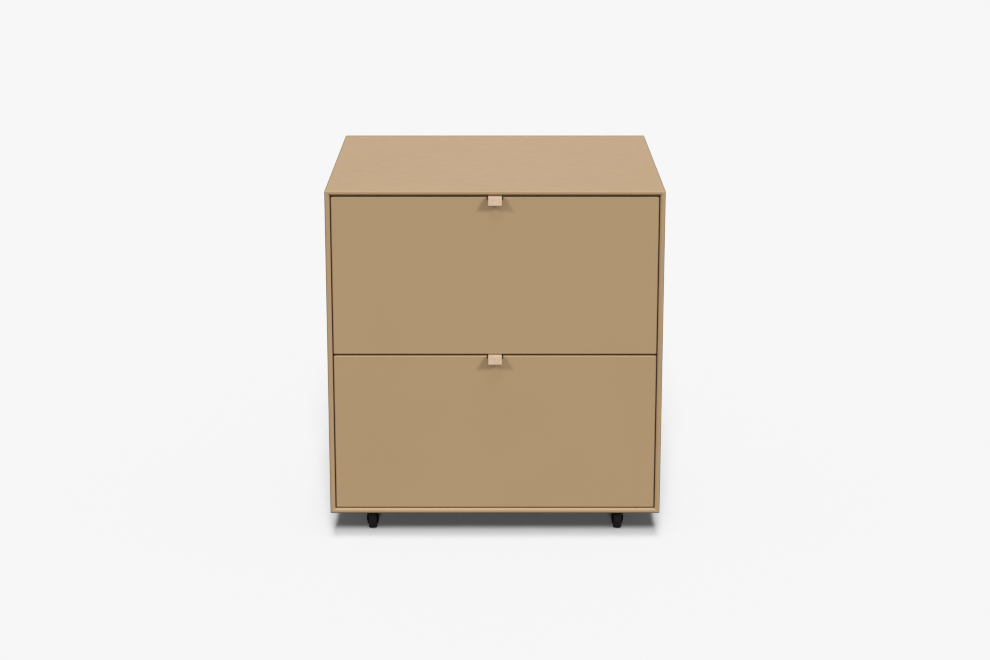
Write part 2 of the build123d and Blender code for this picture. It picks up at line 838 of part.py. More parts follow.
def axle_centres():
    """Centre and direction of each caster's axle."""
    found = {}
    for name, (x, y) in caster_centres().items():
        angle = radians(caster_rest_angles[name])
        dx, dy = sin(angle) * caster_trail, -cos(angle) * caster_trail
        found[name] = ((x + dx, y + dy, wheel_radius), (cos(angle), sin(angle), 0.0))
    return found


# ---- Writing ----------------------------------------------------------------------


def make_all():
    nodes = make_shell() | make_uprights() | make_base() | make_slides() | make_casters()
    nodes |= make_drawer("lower", lower_front_bottom)
    nodes |= make_drawer("upper", lower_front_bottom + drawer_pitch)
    return nodes


def main():
    os.makedirs("parts", exist_ok=True)
    nodes = make_all()
    for name, shape in nodes.items():
        export_step(shape, f"parts/{name}.step")
    print(len(nodes), "nodes; fronts", front_width, "by", front_height)
    for name, (point, axis) in axle_centres().items():
        print(name, "axle", [round(v, 3) for v in point], [round(v, 5) for v in axis])


main()
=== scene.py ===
import bpy, bmesh, json, math, random
from mathutils import Matrix, Vector, noise


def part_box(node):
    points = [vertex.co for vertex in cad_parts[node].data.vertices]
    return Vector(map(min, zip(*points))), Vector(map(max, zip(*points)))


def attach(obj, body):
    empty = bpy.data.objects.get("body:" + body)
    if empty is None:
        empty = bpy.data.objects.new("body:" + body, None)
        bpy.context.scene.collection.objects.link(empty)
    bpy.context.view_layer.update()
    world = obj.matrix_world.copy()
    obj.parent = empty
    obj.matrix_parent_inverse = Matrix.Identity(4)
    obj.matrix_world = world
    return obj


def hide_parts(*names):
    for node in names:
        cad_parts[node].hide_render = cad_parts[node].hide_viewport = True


# Filing cabinet: two drawers in a mitred steel shell, leather pulls, four swivel casters.
# Everything is in metres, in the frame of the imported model.

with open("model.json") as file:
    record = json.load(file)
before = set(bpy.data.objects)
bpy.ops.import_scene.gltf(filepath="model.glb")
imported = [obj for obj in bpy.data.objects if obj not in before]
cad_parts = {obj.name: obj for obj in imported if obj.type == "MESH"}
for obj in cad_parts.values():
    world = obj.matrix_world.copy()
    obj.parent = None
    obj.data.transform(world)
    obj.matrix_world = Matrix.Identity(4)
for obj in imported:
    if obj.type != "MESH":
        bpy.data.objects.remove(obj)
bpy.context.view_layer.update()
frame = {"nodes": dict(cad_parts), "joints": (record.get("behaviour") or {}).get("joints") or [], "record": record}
nodes = frame["nodes"]
joints = {joint["name"]: joint for joint in frame["joints"]}
bpy.context.scene.view_settings.view_transform = "Standard"
print("frame loaded:", len(nodes), "nodes")


# Node helpers

def feed(tree, socket, value):  # a socket takes a link or a plain value
    if isinstance(value, bpy.types.NodeSocket):
        tree.links.new(value, socket)
    else:
        socket.default_value = value


def addNode(tree, kind, values=None, **settings):
    made = tree.nodes.new(kind)
    for name, value in settings.items():
        setattr(made, name, value)
    for name, value in (values or {}).items():
        feed(tree, made.inputs[name], value)
    return made


def join(tree, source, target):
    tree.links.new(source, target)


def maths(tree, operation, *values):
    made = addNode(tree, "ShaderNodeMath", operation=operation)
    for socket, value in zip(made.inputs, values):
        feed(tree, socket, value)
    return made.outputs[0]


def srgb(red, green, blue):  # screen values of 0-255, to linear
    steps = [value / 255 for value in (red, green, blue)]
    linear = [v / 12.92 if v <= 0.04045 else ((v + 0.055) / 1.055) ** 2.4 for v in steps]
    return (*linear, 1.0)


def newMaterial(name, colour, metallic, roughness):
    material = bpy.data.materials.new(name)
    material.use_nodes = True
    material.diffuse_color = colour
    shader = material.node_tree.nodes["Principled BSDF"]
    shader.inputs["Base Color"].default_value = colour
    shader.inputs["Metallic"].default_value = metallic
    shader.inputs["Roughness"].default_value = roughness
    return material, material.node_tree, shader


def noiseField(tree, place, scale, detail=2.0, roughness=0.5, stretch=None):
    source = place.outputs["Object"]
    if stretch:  # pattern drawn out along an axis
        source = addNode(tree, "ShaderNodeMapping", {"Vector": source, "Scale": stretch}).outputs["Vector"]
    values = {"Vector": source, "Scale": scale, "Detail": detail, "Roughness": roughness}
    return addNode(tree, "ShaderNodeTexNoise", values).outputs["Fac"]


def remap(tree, value, low, high, fromLow=0.3, fromHigh=0.7):
    ranges = {"Value": value, "From Min": fromLow, "From Max": fromHigh, "To Min": low, "To Max": high}
    return addNode(tree, "ShaderNodeMapRange", ranges, clamp=True).outputs["Result"]


def blendColours(tree, factor, first, second):
    made = addNode(tree, "ShaderNodeMix", data_type="RGBA", blend_type="MIX")
    for index, value in ((0, factor), (6, first), (7, second)):
        feed(tree, made.inputs[index], value)
    return made.outputs[2]


def addBump(tree, shader, layers):  # layers: (height socket, depth in metres, strength)
    previous = None
    for height, depth, strength in layers:
        bump = addNode(tree, "ShaderNodeBump", {"Height": height, "Distance": depth, "Strength": strength})
        if previous:
            join(tree, previous.outputs["Normal"], bump.inputs["Normal"])
        previous = bump
    join(tree, previous.outputs["Normal"], shader.inputs["Normal"])


# Finishes

powderCoatLook = {
    "colour": srgb(174, 146, 110),
    "shade": srgb(172, 144, 108),
    "roughness": (0.43, 0.49),
    "peelSize": 900,        # orange peel, cells per metre
    "peelDepth": 0.00006,
    "panelWave": 5,         # slow waves of the sheet
    "waveDepth": 0.0006,
    "cloudSize": 6.5,
    "fleckSize": 420,
    "fleckLift": 1.05,      # how much lighter a fleck is
    "wearSize": 38,
    "sheen": 0.42,
}


def makePowderCoat():
    look = powderCoatLook
    material, tree, shader = newMaterial("powderCoat", look["colour"], 0.0, 0.46)
    place = addNode(tree, "ShaderNodeTexCoord")
    cloud = noiseField(tree, place, look["cloudSize"], 3, 0.55)
    fleck = noiseField(tree, place, look["fleckSize"], 2, 0.6)
    tone = blendColours(tree, remap(tree, cloud, 0, 1), look["colour"], look["shade"])
    light = tuple(min(1, c * look["fleckLift"]) for c in look["colour"][:3]) + (1,)
    speck = remap(tree, fleck, 0, 0.35, 0.5, 0.75)
    join(tree, blendColours(tree, speck, tone, light), shader.inputs["Base Color"])
    wear = noiseField(tree, place, look["wearSize"], 4, 0.6)
    join(tree, remap(tree, wear, *look["roughness"]), shader.inputs["Roughness"])
    peel = noiseField(tree, place, look["peelSize"], 1, 0.5)
    wave = noiseField(tree, place, look["panelWave"], 1, 0.4)
    addBump(tree, shader, [(wave, look["waveDepth"], 0.12), (peel, look["peelDepth"], 0.35)])
    shader.inputs["Specular IOR Level"].default_value = look["sheen"]
    return material


leatherLook = {
    "colour": srgb(180, 154, 128),
    "pale": srgb(194, 171, 146),
    "dark": srgb(152, 125, 99),
    "edge": srgb(170, 142, 115),
    "poreSize": 1500,       # hair cells per metre
    "creaseSize": 260,
    "creaseDepth": 0.00035,
    "poreDepth": 0.00012,
    "cloudSize": 160,
    "blotchSize": 420,
    "fibreSize": 1500,      # fibres at the cut edge
    "fibreDepth": 0.0002,
}


def makeLeather():
    look = leatherLook
    material, tree, shader = newMaterial("naturalHide", look["colour"], 0.0, 0.62)
    place = addNode(tree, "ShaderNodeTexCoord")
    cloud = noiseField(tree, place, look["cloudSize"], 3, 0.6)
    blotch = noiseField(tree, place, look["blotchSize"], 4, 0.65)
    tone = blendColours(tree, remap(tree, cloud, 0, 0.85), look["colour"], look["pale"])
    tone = blendColours(tree, remap(tree, blotch, 0, 0.55, 0.5, 0.78), tone, look["dark"])
    pores = addNode(tree, "ShaderNodeTexVoronoi", {"Scale": look["poreSize"], "Randomness": 0.95})
    join(tree, place.outputs["Object"], pores.inputs["Vector"])
    pit = remap(tree, pores.outputs["Distance"], 1, 0, 0.05, 0.32)
    tone = blendColours(tree, remap(tree, pit, 0, 0.35, 0, 1), tone, look["dark"])
    join(tree, tone, shader.inputs["Base Color"])
    creases = noiseField(tree, place, look["creaseSize"], 5, 0.62, (1.6, 1, 0.7))
    join(tree, remap(tree, creases, 0.5, 0.72), shader.inputs["Roughness"])
    layers = [(creases, look["creaseDepth"], 0.6), (pores.outputs["Distance"], look["poreDepth"], 0.5)]
    addBump(tree, shader, layers)
    shader.inputs["Sheen Weight"].default_value = 0.12
    shader.inputs["Sheen Roughness"].default_value = 0.5
    return material


def makeLeatherEdge():
    look = leatherLook
    material, tree, shader = newMaterial("rawHideEdge", look["edge"], 0.0, 0.8)
    place = addNode(tree, "ShaderNodeTexCoord")
    fibres = noiseField(tree, place, look["fibreSize"], 4, 0.7, (1, 1, 0.5))
    tone = blendColours(tree, remap(tree, fibres, 0, 1), look["edge"], look["dark"])
    join(tree, tone, shader.inputs["Base Color"])
    addBump(tree, shader, [(fibres, look["fibreDepth"], 0.7)])
    return material


zincLook = {
    "colour": srgb(206, 206, 203),
    "warm": srgb(209, 205, 193),
    "roughness": (0.26, 0.44),
    "metal": 0.8,
    "rollSize": 900,        # rolling marks per metre
    "rollDepth": 0.00004,
}


def makeZinc(name, stretch):
    look = zincLook
    material, tree, shader = newMaterial(name, look["colour"], look["metal"], 0.32)
    place = addNode(tree, "ShaderNodeTexCoord")
    cloud = noiseField(tree, place, 55, 3, 0.55)
    tone = blendColours(tree, remap(tree, cloud, 0, 1), look["colour"], look["warm"])
    join(tree, tone, shader.inputs["Base Color"])
    rolled = noiseField(tree, place, look["rollSize"], 3, 0.6, stretch)
    join(tree, remap(tree, rolled, *look["roughness"]), shader.inputs["Roughness"])
    addBump(tree, shader, [(rolled, look["rollDepth"], 0.3)])
    return material


ballLook = {"colour": srgb(206, 206, 208), "grease": srgb(176, 166, 140), "roughness": (0.1, 0.3)}


def makeBallSteel():
    look = ballLook
    material, tree, shader = newMaterial("ballSteel", look["colour"], 1.0, 0.14)
    place = addNode(tree, "ShaderNodeTexCoord")
    grease = noiseField(tree, place, 300, 3, 0.6)
    join(tree, remap(tree, grease, *look["roughness"]), shader.inputs["Roughness"])
    film = blendColours(tree, remap(tree, grease, 0, 0.4), look["colour"], look["grease"])
    join(tree, film, shader.inputs["Base Color"])
    return material


blackSteelLook = {
    "colour": srgb(15, 15, 14),
    "clean": srgb(19, 19, 18),
    "dusty": srgb(34, 33, 31),
    "roughness": (0.42, 0.56),
    "sheen": 0.15,
    "grainSize": 1300,
    "grainDepth": 0.00004,
}


def makeBlackSteel():
    look = blackSteelLook
    material, tree, shader = newMaterial("satinBlack", look["colour"], 0.0, 0.42)
    place = addNode(tree, "ShaderNodeTexCoord")
    dust = noiseField(tree, place, 120, 4, 0.65)
    tone = blendColours(tree, remap(tree, dust, 0, 0.6), look["clean"], look["dusty"])
    join(tree, tone, shader.inputs["Base Color"])
    join(tree, remap(tree, dust, *look["roughness"]), shader.inputs["Roughness"])
    shader.inputs["Specular IOR Level"].default_value = look["sheen"]
    addBump(tree, shader, [(noiseField(tree, place, look["grainSize"], 1), look["grainDepth"], 0.4)])
    return material


mouldedLook = {  # nylon and rubber
    "nylon": srgb(15, 15, 14), "nylonDusty": srgb(38, 37, 35),
    "rubber": srgb(19, 19, 18), "rubberDusty": srgb(36, 35, 33),
    "roughness": (0.5, 0.72),
    "scuffSize": 260,
    "scuffDepth": 0.00005,
}


def makeNylon(name, colour, dusty):
    look = mouldedLook
    material, tree, shader = newMaterial(name, colour, 0.0, 0.58)
    place = addNode(tree, "ShaderNodeTexCoord")
    scuffs = noiseField(tree, place, look["scuffSize"], 5, 0.7)
    tone = blendColours(tree, remap(tree, scuffs, 0, 1, 0.48, 0.75), colour, dusty)
    join(tree, tone, shader.inputs["Base Color"])
    join(tree, remap(tree, scuffs, *look["roughness"]), shader.inputs["Roughness"])
    addBump(tree, shader, [(scuffs, look["scuffDepth"], 0.4)])
    return material


plateLook = {
    "colour": srgb(84, 82, 80),
    "blue": srgb(70, 70, 72),
    "brown": srgb(104, 98, 92),
    "roughness": (0.4, 0.62),
    "scaleSize": 28,        # patches of mill scale
    "grainSize": 500,
    "grainDepth": 0.0001,
}


def makeMillPlate():
    look = plateLook
    material, tree, shader = newMaterial("oiledPlate", look["colour"], 0.7, 0.5)
    place = addNode(tree, "ShaderNodeTexCoord")
    scale = noiseField(tree, place, look["scaleSize"], 5, 0.65)
    tone = blendColours(tree, remap(tree, scale, 0, 1), look["blue"], look["brown"])
    join(tree, tone, shader.inputs["Base Color"])
    join(tree, remap(tree, scale, *look["roughness"]), shader.inputs["Roughness"])
    addBump(tree, shader, [(noiseField(tree, place, look["grainSize"], 3), look["grainDepth"], 0.4)])
    return material


finishes = {
    "powder_coat": makePowderCoat(),
    "leather": makeLeather(),
    "zinc_slides": makeZinc("zincSlides", (1, 0.04, 1)),
    "zinc_fasteners": makeZinc("zincFasteners", None),
    "ball_steel": makeBallSteel(),
    "black_steel": makeBlackSteel(),
    "black_nylon": makeNylon("blackNylon", mouldedLook["nylon"], mouldedLook["nylonDusty"]),
    "raw_steel": makeMillPlate(),
}
rawHideEdge = makeLeatherEdge()
treadRubber = makeNylon("treadRubber", mouldedLook["rubber"], mouldedLook["rubberDusty"])
slotOfNode = {part["node"]: part["material_slot"] for part in frame["record"]["subparts"]}
for name, node in nodes.items():
    for slot in node.material_slots:
        slot.material = finishes[slotOfNode[name]]
print("finishes made:", len(finishes))


# Mesh helpers

def newPiece(name, mesh, body, replaced=()):
    piece = bpy.data.objects.new(name, mesh)
    bpy.context.scene.collection.objects.link(piece)
    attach(piece, body)
    if replaced:
        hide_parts(*replaced)
    return piece


def separateSolids(name):
    # reads a copy of the node's mesh: the points of each separate solid
    work = bmesh.new()
    work.from_mesh(nodes[name].data)
    bmesh.ops.remove_doubles(work, verts=work.verts, dist=1e-6)
    left, solids = set(work.verts), []
    for corner in list(work.verts):
        if corner not in left:
            continue
        left.discard(corner)
        stack, found = [corner], []
        while stack:
            point = stack.pop()
            found.append(point.co.copy())
            for edge in point.link_edges:
                other = edge.other_vert(point)
                if other in left:
                    left.discard(other)
                    stack.append(other)
        solids.append(found)
    work.free()
    return solids


def joinMeshes(name, parts, material, sharp=35):
    work = bmesh.new()
    for part in parts:
        work.from_mesh(part)
    mesh = bpy.data.meshes.new(name)
    work.to_mesh(mesh)
    work.free()
    mesh.materials.append(material)
    mesh.shade_smooth()
    mesh.set_sharp_from_angle(angle=math.radians(sharp))
    return mesh


# Geometry trees

def newTree(name, sizes):  # an empty tree with one named input for each size
    tree = bpy.data.node_groups.new(name, "GeometryNodeTree")
    tree.interface.new_socket("Points", in_out="INPUT", socket_type="NodeSocketGeometry")
    for label, value in sizes.items():
        kind = "NodeSocketInt" if isinstance(value, int) else "NodeSocketFloat"
        tree.interface.new_socket(label, in_out="INPUT", socket_type=kind).default_value = value
    tree.interface.new_socket("Mesh", in_out="OUTPUT", socket_type="NodeSocketGeometry")
    return tree, addNode(tree, "NodeGroupInput").outputs


def endTree(tree, shape, material):
    real = addNode(tree, "GeometryNodeRealizeInstances", {"Geometry": shape}).outputs[0]
    done = addNode(tree, "GeometryNodeSetMaterial", {"Geometry": real, "Material": material}).outputs[0]
    join(tree, done, addNode(tree, "NodeGroupOutput").inputs[0])


def instances(tree, points, shape, rotation):
    values = {"Points": points, "Instance": shape, "Rotation": rotation}
    return addNode(tree, "GeometryNodeInstanceOnPoints", values).outputs[0]


def eulerTurn(tree, x=0.0, y=0.0, z=0.0):
    angles = addNode(tree, "ShaderNodeCombineXYZ", {"X": x, "Y": y, "Z": z}).outputs[0]
    return addNode(tree, "FunctionNodeEulerToRotation", {"Euler": angles}).outputs[0]


def storedTurn(tree):  # the way each point faces, put on the points by growMesh
    stored = addNode(tree, "GeometryNodeInputNamedAttribute", {"Name": "turn"}, data_type="FLOAT_VECTOR")
    return addNode(tree, "FunctionNodeEulerToRotation", {"Euler": stored.outputs[0]}).outputs[0]


def positions(tree):
    place = addNode(tree, "GeometryNodeInputPosition").outputs[0]
    return addNode(tree, "ShaderNodeSeparateXYZ", {"Vector": place}).outputs


def reshaped(tree, shape, x, y, z):
    place = addNode(tree, "ShaderNodeCombineXYZ", {"X": x, "Y": y, "Z": z}).outputs[0]
    return addNode(tree, "GeometryNodeSetPosition", {"Geometry": shape, "Position": place}).outputs[0]


# runs a tree on places (point, the way +Z turns) and keeps a plain mesh
def growMesh(name, tree, places, sizes):
    seeds = bpy.data.meshes.new(name + "Seeds")
    seeds.from_pydata([point for point, way in places], [], [])
    turns = seeds.attributes.new("turn", "FLOAT_VECTOR", "POINT")
    for item, (point, way) in zip(turns.data, places):
        item.vector = Vector((0, 0, 1)).rotation_difference(way).to_euler()
    holder = bpy.data.objects.new(name + "Holder", seeds)
    bpy.context.scene.collection.objects.link(holder)
    modifier = holder.modifiers.new(tree.name, "NODES")
    modifier.node_group = tree
    for item in tree.interface.items_tree:
        if item.in_out == "INPUT" and item.name in sizes:
            modifier[item.identifier] = sizes[item.name]
    graph = bpy.context.evaluated_depsgraph_get()
    mesh = bpy.data.meshes.new_from_object(holder.evaluated_get(graph))
    holder.modifiers.remove(modifier)
    bpy.data.objects.remove(holder)
    return mesh


# Screws: cross recess and a cut thread, pan or flat head

screwLook = {
    "panRadius": 0.0036, "panHeight": 0.0016,
    "flatRadius": 0.0038, "flatHeight": 0.0012,
    "shank": 0.002, "pitch": 0.0007, "thread": 0.00028,
    "recessSpan": 0.0036, "recessWidth": 0.0008, "recessDepth": 0.001,
    "headSides": 28, "shankSides": 12,
    "ringsPerTurn": 3,       # rings of the shank for each turn of the thread
    "dome": 0.3,             # share of the head's height that its rim drops
    "rimIn": 0.12,           # how much narrower the head is at its top
    "shankFrom": 0.7,        # share of the head's height above the shank
    "tipWidth": 0.7, "tipSlope": 500,
    "seed": 7,               # how far each one was turned
}


def makeScrewTree(flat):
    look = screwLook
    kind = "flat" if flat else "pan"
    sizes = {
        "Head Radius": look[kind + "Radius"], "Head Height": look[kind + "Height"],
        "Shank Radius": look["shank"], "Length": 0.008,
        "Thread Pitch": look["pitch"], "Thread Depth": look["thread"],
        "Recess Span": look["recessSpan"], "Recess Width": look["recessWidth"],
        "Recess Depth": look["recessDepth"], "Seed": look["seed"],
    }
    tree, given = newTree(kind + "Screw", sizes)
    radius, height, shank = given["Head Radius"], given["Head Height"], given["Shank Radius"]
    x, y, z = positions(tree)
    if flat:  # cone, its wide end at the top
        values = {"Vertices": look["headSides"], "Depth": height}
        values.update({"Radius Top": radius, "Radius Bottom": shank})
        head = addNode(tree, "GeometryNodeMeshCone", values).outputs[0]
        head = reshaped(tree, head, x, y, maths(tree, "SUBTRACT", z, height))
    else:  # low dome with a rounded rim
        values = {"Vertices": look["headSides"], "Side Segments": 4, "Fill Segments": 3}
        values.update({"Radius": radius, "Depth": height})
        head = addNode(tree, "GeometryNodeMeshCylinder", values, fill_type="TRIANGLE_FAN").outputs[0]
        share = maths(tree, "ADD", maths(tree, "DIVIDE", z, height), 0.5)
        across = maths(tree, "ADD", maths(tree, "MULTIPLY", x, x), maths(tree, "MULTIPLY", y, y))
        across = maths(tree, "DIVIDE", across, maths(tree, "MULTIPLY", radius, radius))
        sink = maths(tree, "MULTIPLY", maths(tree, "MULTIPLY", across, share), look["dome"])
        sink = maths(tree, "MULTIPLY", maths(tree, "ADD", sink, 0.5), height)
        drawnIn = maths(tree, "MULTIPLY", maths(tree, "POWER", share, 3), look["rimIn"])
        narrow = maths(tree, "SUBTRACT", 1, drawnIn)
        sides = [maths(tree, "MULTIPLY", axis, narrow) for axis in (x, y)]
        head = reshaped(tree, head, *sides, maths(tree, "SUBTRACT", z, sink))
    cut = addNode(tree, "GeometryNodeMeshBoolean", {"Mesh 1": head}, operation="DIFFERENCE", solver="EXACT")
    deep = maths(tree, "MULTIPLY", given["Recess Depth"], 2)
    for spans in (("Recess Span", "Recess Width"), ("Recess Width", "Recess Span")):
        size = addNode(tree, "ShaderNodeCombineXYZ", {"X": given[spans[0]], "Y": given[spans[1]], "Z": deep})
        bar = addNode(tree, "GeometryNodeMeshCube", {"Size": size.outputs[0]})
        join(tree, bar.outputs[0], cut.inputs["Mesh 2"])
    # shank, its radius rising and falling along a helix, with a chamfered tip
    start = maths(tree, "MULTIPLY", height, look["shankFrom"])
    length = maths(tree, "SUBTRACT", given["Length"], start)
    threadTurns = maths(tree, "DIVIDE", length, given["Thread Pitch"])
    rings = maths(tree, "CEIL", maths(tree, "MULTIPLY", threadTurns, look["ringsPerTurn"]))
    values = {"Vertices": look["shankSides"], "Side Segments": rings, "Fill Segments": 1}
    values.update({"Radius": shank, "Depth": length})
    post = addNode(tree, "GeometryNodeMeshCylinder", values).outputs[0]
    angle = maths(tree, "DIVIDE", maths(tree, "ARCTAN2", y, x), math.tau)
    turned = maths(tree, "FRACT", maths(tree, "ADD", maths(tree, "DIVIDE", z, given["Thread Pitch"]), angle))
    tooth = maths(tree, "ABSOLUTE", maths(tree, "SUBTRACT", maths(tree, "MULTIPLY", turned, 2), 1))
    cutIn = maths(tree, "MULTIPLY", tooth, maths(tree, "DIVIDE", given["Thread Depth"], shank))
    fromTip = maths(tree, "ADD", z, maths(tree, "MULTIPLY", length, 0.5))
    widening = maths(tree, "ADD", maths(tree, "MULTIPLY", fromTip, look["tipSlope"]), look["tipWidth"])
    chamfer = maths(tree, "MINIMUM", widening, 1)
    narrow = maths(tree, "MULTIPLY", maths(tree, "SUBTRACT", 1, cutIn), chamfer)
    sides = [maths(tree, "MULTIPLY", axis, narrow) for axis in (x, y)]
    sink = maths(tree, "ADD", start, maths(tree, "MULTIPLY", length, 0.5))
    post = reshaped(tree, post, *sides, maths(tree, "SUBTRACT", z, sink))
    whole = addNode(tree, "GeometryNodeJoinGeometry")
    for part in (cut.outputs[0], post):
        join(tree, part, whole.inputs[0])
    spin = addNode(tree, "FunctionNodeRandomValue", {"Seed": given["Seed"]}, data_type="FLOAT")
    spin.inputs[3].default_value = math.tau
    turns = {"Rotation": storedTurn(tree), "Rotate By": eulerTurn(tree, z=spin.outputs[1])}
    turn = addNode(tree, "FunctionNodeRotateRotation", turns, rotation_space="LOCAL").outputs[0]
    endTree(tree, instances(tree, given["Points"], whole.outputs[0], turn), finishes["zinc_fasteners"])
    return tree


def screwPlaces(name):  # {(flat head or not, length): [(middle of the head's top, the way it faces)]}
    found = {}
    for points in separateSolids(name):
        low, high = (Vector([pick(p[i] for p in points) for i in range(3)]) for pick in (min, max))
        size, middle = high - low, (low + high) / 2
        along = min(range(3), key=lambda i: abs(size[i - 1] - size[i - 2]))

        def reach(level):  # how wide the screw is at one end
            near = [p for p in points if abs(p[along] - level) < 0.0005]
            return max(math.dist(p, middle[:along] + (p[along],) + middle[along + 1:]) for p in near)

        headHigh = reach(high[along]) > reach(low[along])
        top, way = middle.copy(), Vector((0, 0, 0))
        top[along] = high[along] if headHigh else low[along]
        way[along] = 1 if headHigh else -1
        flat = max(size[along - 1], size[along - 2]) > screwLook["panRadius"] + screwLook["flatRadius"]
        found.setdefault((flat, round(size[along], 5)), []).append((top, way))
    return found


screwTrees = {flat: makeScrewTree(flat) for flat in (False, True)}


def makeScrews(name, node, body):
    parts = []
    for (flat, length), places in sorted(screwPlaces(node).items()):
        parts.append(growMesh(name, screwTrees[flat], places, {"Length": length}))
    mesh = joinMeshes(name, parts, finishes["zinc_fasteners"])
    newPiece(name, mesh, body, [node])


makeScrews("back_panel_cross_screws", "back_panel_screws", "cabinet")
makeScrews("base_cross_screws", "base_screws", "cabinet")
makeScrews("slide_cross_screws", "slide_screws", "cabinet")
for level in ("upper", "lower"):
    makeScrews(f"{level}_drawer_cross_screws", f"{level}_drawer_screws", f"{level}_drawer")
print("screws made")


# Caster wheels: nylon core with ribs in its dish, rubber tread

wheelLook = {
    "width": 0.0145, "edge": 0.0032, "dish": 0.002, "rim": 0.005, "hub": 0.0065, "bore": 0.0031,
    "seam": 0.0037,          # outer radius to the joint between core and tread
    "seamDepth": 0.0003,
    "soften": 0.0004,
    "crown": 0.0003,
    "ribs": 8, "ribWidth": 0.0014, "ribSink": 0.0005,
    "draft": 0.4,            # how much thinner a rib is at its top
    "turnSteps": 72, "edgeSteps": 8,
}


def wheelProfile(radius):  # one closed loop of (along the axle, out from it, material of the next stretch)
    look = wheelLook
    half, soft, seam = look["width"] / 2, look["soften"], radius - look["seam"]
    rimIn, hub, floorAt = radius - look["rim"], look["hub"], half - look["dish"]
    side = [
        (half - soft, look["bore"]), (half, look["bore"] + soft), (half, hub - soft), (half - soft, hub),
        (floorAt + soft, hub + soft * 0.6), (floorAt, hub + soft * 1.6), (floorAt, rimIn - soft * 1.6),
        (floorAt + soft, rimIn - soft * 0.6), (half - soft, rimIn), (half, rimIn + soft),
        (half, seam - look["seamDepth"]), (half - look["seamDepth"], seam),
    ]
    core = [(along, out, 0) for along, out in side]
    tread = [(half - look["seamDepth"], seam + 0.00001, 1), (half, seam + look["seamDepth"], 1)]
    for step in range(look["edgeSteps"] + 1):
        turn = math.pi / 2 * step / look["edgeSteps"]
        along = half - look["edge"] * (1 - math.cos(turn))
        out = radius - look["crown"] - look["edge"] * (1 - math.sin(turn))
        tread.append((along, out, 1))
    tread.append(((half - look["edge"]) * 0.5, radius - look["crown"] * 0.25, 1))
    one = core + tread
    back = [(-along, out, mark) for along, out, mark in reversed(one)]
    marks = [mark for along, out, mark in one[:-1]] + [1]
    forward = [(along, out, mark) for (along, out, unused), mark in zip(one, marks)]
    marksBack = [mark for along, out, mark in back[1:]] + [0]
    returning = [(along, out, mark) for (along, out, unused), mark in zip(back, marksBack)]
    return forward + [(0, radius, 1)] + returning


def lathe(name, profile, centre, axle, steps):
    up = Vector((0, 0, 1))
    side = axle.cross(up)
    work = bmesh.new()
    rings = []
    for step in range(steps):
        turn = math.tau * step / steps
        out = up * math.cos(turn) + side * math.sin(turn)
        rings.append([work.verts.new(centre + axle * along + out * far) for along, far, mark in profile])
    for first, second in zip(rings, rings[1:] + rings[:1]):
        for k, (along, far, mark) in enumerate(profile):
            after = (k + 1) % len(profile)
            work.faces.new((first[k], first[after], second[after], second[k])).material_index = mark
    bmesh.ops.recalc_face_normals(work, faces=work.faces)
    mesh = bpy.data.meshes.new(name)
    work.to_mesh(mesh)
    work.free()
    mesh.shade_smooth()
    mesh.set_sharp_from_angle(angle=math.radians(50))
    return mesh


def makeRibTree():
    look = wheelLook
    sizes = {"Ribs": look["ribs"], "Width": look["ribWidth"]}
    sizes.update({"Inner": 0.0, "Outer": 0.0, "Height": 0.0, "Sink": 0.0})  # each wheel gives these
    tree, given = newTree("wheelRibs", sizes)
    middle = maths(tree, "MULTIPLY", maths(tree, "ADD", given["Inner"], given["Outer"]), 0.5)
    long = maths(tree, "SUBTRACT", given["Outer"], given["Inner"])
    size = addNode(tree, "ShaderNodeCombineXYZ", {"X": long, "Y": given["Width"], "Z": given["Height"]})
    rib = addNode(tree, "GeometryNodeMeshCube", {"Size": size.outputs[0], "Vertices X": 3}).outputs[0]
    x, y, z = positions(tree)
    share = maths(tree, "ADD", maths(tree, "DIVIDE", z, given["Height"]), 0.5)
    thin = maths(tree, "SUBTRACT", 1, maths(tree, "MULTIPLY", share, look["draft"]))
    drop = maths(tree, "ADD", given["Sink"], maths(tree, "MULTIPLY", given["Height"], 0.5))
    rib = reshaped(tree, rib, x, maths(tree, "MULTIPLY", y, thin), maths(tree, "SUBTRACT", z, drop))
    ring = addNode(tree, "GeometryNodeMeshCircle", {"Vertices": given["Ribs"], "Radius": middle}).outputs[0]
    place = addNode(tree, "GeometryNodeInputPosition").outputs[0]
    outward = addNode(
        tree, "FunctionNodeAlignRotationToVector", {"Vector": place}, axis="X", pivot_axis="Z")
    side = instances(tree, ring, rib, outward.outputs[0])
    endTree(tree, instances(tree, given["Points"], side, storedTurn(tree)), finishes["black_nylon"])
    return tree


def makeWheels():
    look, ribTree = wheelLook, makeRibTree()
    for corner in ("front_left", "front_right", "rear_left", "rear_right"):
        body = f"{corner}_wheel"
        node = f"{corner}_caster_wheel"
        low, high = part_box(node)
        centre, radius = (low + high) / 2, (high.z - low.z) / 2
        axle = Vector(joints[f"{corner}_wheel_spin"]["axis"]).normalized()
        mesh = lathe(f"{corner}_treaded_wheel", wheelProfile(radius), centre, axle, look["turnSteps"])
        mesh.materials.append(finishes["black_nylon"])
        mesh.materials.append(treadRubber)
        newPiece(f"{corner}_treaded_wheel", mesh, body, [node])
        half = look["width"] / 2
        places = [(centre + axle * half * way, axle * way) for way in (1, -1)]
        sizes = {
            "Inner": look["hub"] - look["soften"], "Outer": radius - look["rim"] + look["soften"],
            "Height": look["dish"] - look["ribSink"] + look["soften"], "Sink": look["ribSink"],
        }
        ribs = growMesh(f"{corner}_wheel_ribs", ribTree, places, sizes)
        ribs = joinMeshes(f"{corner}_wheel_ribs", [ribs], finishes["black_nylon"])
        newPiece(f"{corner}_wheel_ribs", ribs, body)


makeWheels()
print("wheels made")


# Leather pulls: one strip, up through the notch, folded at the bottom, and back

